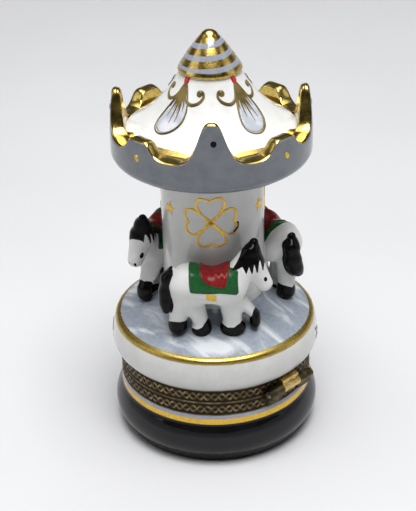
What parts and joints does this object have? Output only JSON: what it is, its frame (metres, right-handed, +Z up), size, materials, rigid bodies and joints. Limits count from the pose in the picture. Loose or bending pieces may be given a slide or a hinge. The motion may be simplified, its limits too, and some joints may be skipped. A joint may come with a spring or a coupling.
{
  "type": "carousel music box",
  "caption": "Small round hinged porcelain keepsake box shaped as a carousel, with horses round a column, a scalloped canopy, a striped roof cap and brass bezels with a hinge and a clasp.",
  "frame": {"origin": "middle of the foot's underside, on the table", "axes": "+Z up along the column; +Y towards the hinge; -Y towards the clasp; +X to the right seen from the clasp"},
  "size_m": [0.05, 0.0506, 0.0998],
  "materials": {
    "black_porcelain": "black glazed porcelain, high gloss",
    "white_porcelain": "white glazed porcelain, hand painted and gilded",
    "blue_grey_porcelain": "white glazed porcelain painted blue grey, gilded rim",
    "antique_brass": "darkened brass with a stamped braid",
    "plain_brass": "worn bright brass",
    "pin_steel": "drawn wire",
    "cement": "matt setting cement"
  },
  "bodies": {
    "base": {"base_dish": "black_porcelain", "lower_cement": "cement", "lower_bezel": "antique_brass", "locating_lip": "plain_brass", "hinge_knuckle_left": "antique_brass", "hinge_knuckle_right": "antique_brass", "hinge_pin": "pin_steel", "clasp_stud": "plain_brass"},
    "lid": {"upper_cement": "cement", "upper_bezel": "antique_brass", "hinge_knuckle_centre": "plain_brass", "clasp_plate": "antique_brass", "lid_platform": "white_porcelain", "column": "white_porcelain", "canopy_bowl": "blue_grey_porcelain", "roof_cone": "white_porcelain", "horse_1": "white_porcelain", "horse_2": "white_porcelain", "horse_3": "white_porcelain"},
    "clasp": {"clasp_tongue": "plain_brass"}
  },
  "joints": [
    {"name": "lid_hinge", "type": "hinge", "parent": "base", "child": "lid", "pos_m": [0, 0.02455, 0.0183], "axis": [-1, 0, 0], "range_deg": [0, 95]},
    {"name": "clasp_flex", "type": "hinge", "parent": "lid", "child": "clasp", "pos_m": [0, -0.02393, 0.0203], "axis": [-1, 0, 0], "range_deg": [0, 8], "stiffness_Nm_per_rad": 0.02}
  ]
}
